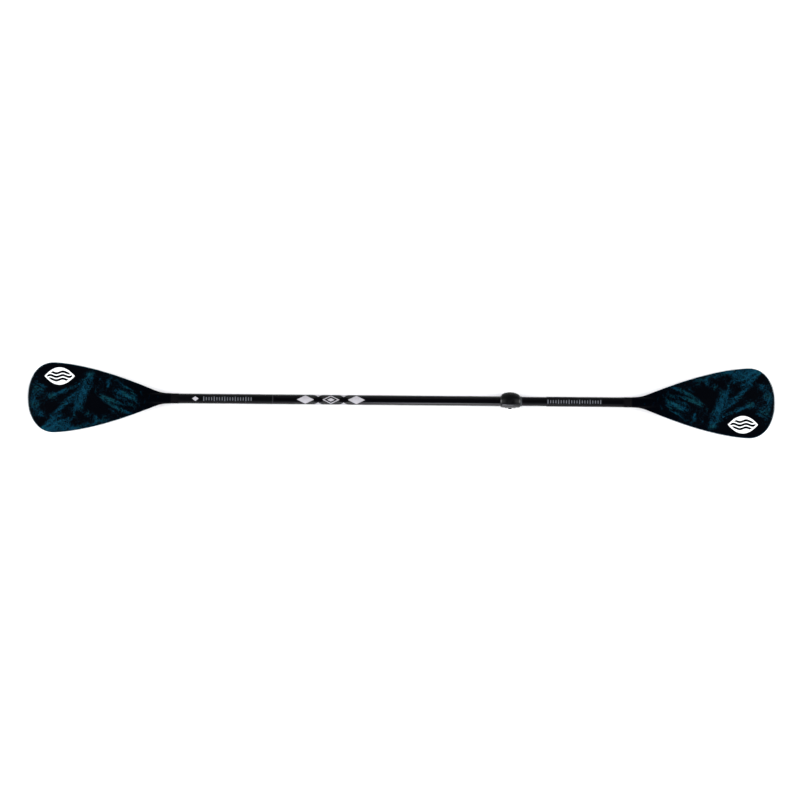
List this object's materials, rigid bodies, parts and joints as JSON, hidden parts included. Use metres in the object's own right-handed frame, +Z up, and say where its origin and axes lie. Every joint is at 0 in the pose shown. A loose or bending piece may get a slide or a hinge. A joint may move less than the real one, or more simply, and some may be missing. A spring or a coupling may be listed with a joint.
{
  "type": "kayak paddle",
  "caption": "Double-bladed kayak paddle with dished teardrop blades on a take-apart aluminium shaft, and a cam-lever lock that sets length and feather angle.",
  "frame": {"origin": "bottom centre of the paddle's bounding box, on the surface that the blade edges rest on, under the middle of the shaft", "axes": "+X along the shaft towards the blade on the lock's side, +Y across the blades, +Z up out of the blades' convex back faces"},
  "size_m": [2.2, 0.2062, 0.0603],
  "materials": {
    "blade_plastic": "moulded blade with a glossy printed film, teal marbling on near-black",
    "band_rubber": "textured dark grey band",
    "black_anodised": "glossy black anodised tube",
    "dull_anodised": "satin black anodised tube",
    "ferrule_alloy": "plain drawn alloy",
    "black_nylon": "moulded nylon",
    "seal_rubber": "moulded O-ring",
    "spring_steel": "stainless spring strip",
    "button_steel": "turned stainless button",
    "foam": "closed-cell foam",
    "collar_nylon": "grey acetal ring",
    "lock_plastic": "fine-grained black moulding",
    "lever_plastic": "satin black moulding",
    "fastener_steel": "stainless steel",
    "nut_plastic": "black moulded nut"
  },
  "bodies": {
    "shaft": {"left_blade": "blade_plastic", "left_band": "band_rubber", "left_tube": "black_anodised", "centre_tube": "black_anodised", "joint_ferrule": "ferrule_alloy", "ferrule_plug": "black_nylon", "ferrule_seal": "seal_rubber", "v_spring": "spring_steel", "left_foam": "foam", "centre_foam": "foam", "clamp_body": "lock_plastic", "lever_pin": "fastener_steel", "clamp_bolt": "fastener_steel", "cam_plate": "fastener_steel"},
    "button": {"push_button": "button_steel"},
    "lever": {"clamp_lever": "lever_plastic"},
    "adjuster": {"adjuster_nut": "nut_plastic"},
    "collar": {"end_collar": "collar_nylon"},
    "right_section": {"inner_tube": "dull_anodised", "guide_plug": "black_nylon", "right_tube": "black_anodised", "right_band": "band_rubber", "right_foam": "foam", "right_blade": "blade_plastic"}
  },
  "joints": [
    {"name": "button_press", "type": "slide", "parent": "shaft", "child": "button", "axis": [0, 0, 1], "range_m": [0, 0.0042], "stiffness_N_per_m": 900, "springref_m": -0.002, "deforming": ["v_spring"]},
    {"name": "lever_open", "type": "hinge", "parent": "shaft", "child": "lever", "pos_m": [0.32, 0.0195, 0.01283], "axis": [-1, 0, 0], "range_deg": [0, 100]},
    {"name": "adjuster_turn", "type": "hinge", "parent": "shaft", "child": "adjuster", "pos_m": [0.32, -0.02, 0.01283], "axis": [0, 1, 0], "range_deg": [-180, 180]},
    {"name": "feather_turn", "type": "hinge", "parent": "shaft", "child": "collar", "pos_m": [0.35, 0, 0.03333], "axis": [1, 0, 0], "range_deg": [-90, 90]},
    {"name": "length_slide", "type": "slide", "parent": "collar", "child": "right_section", "axis": [1, 0, 0], "range_m": [-0.07, 0.08]}
  ]
}
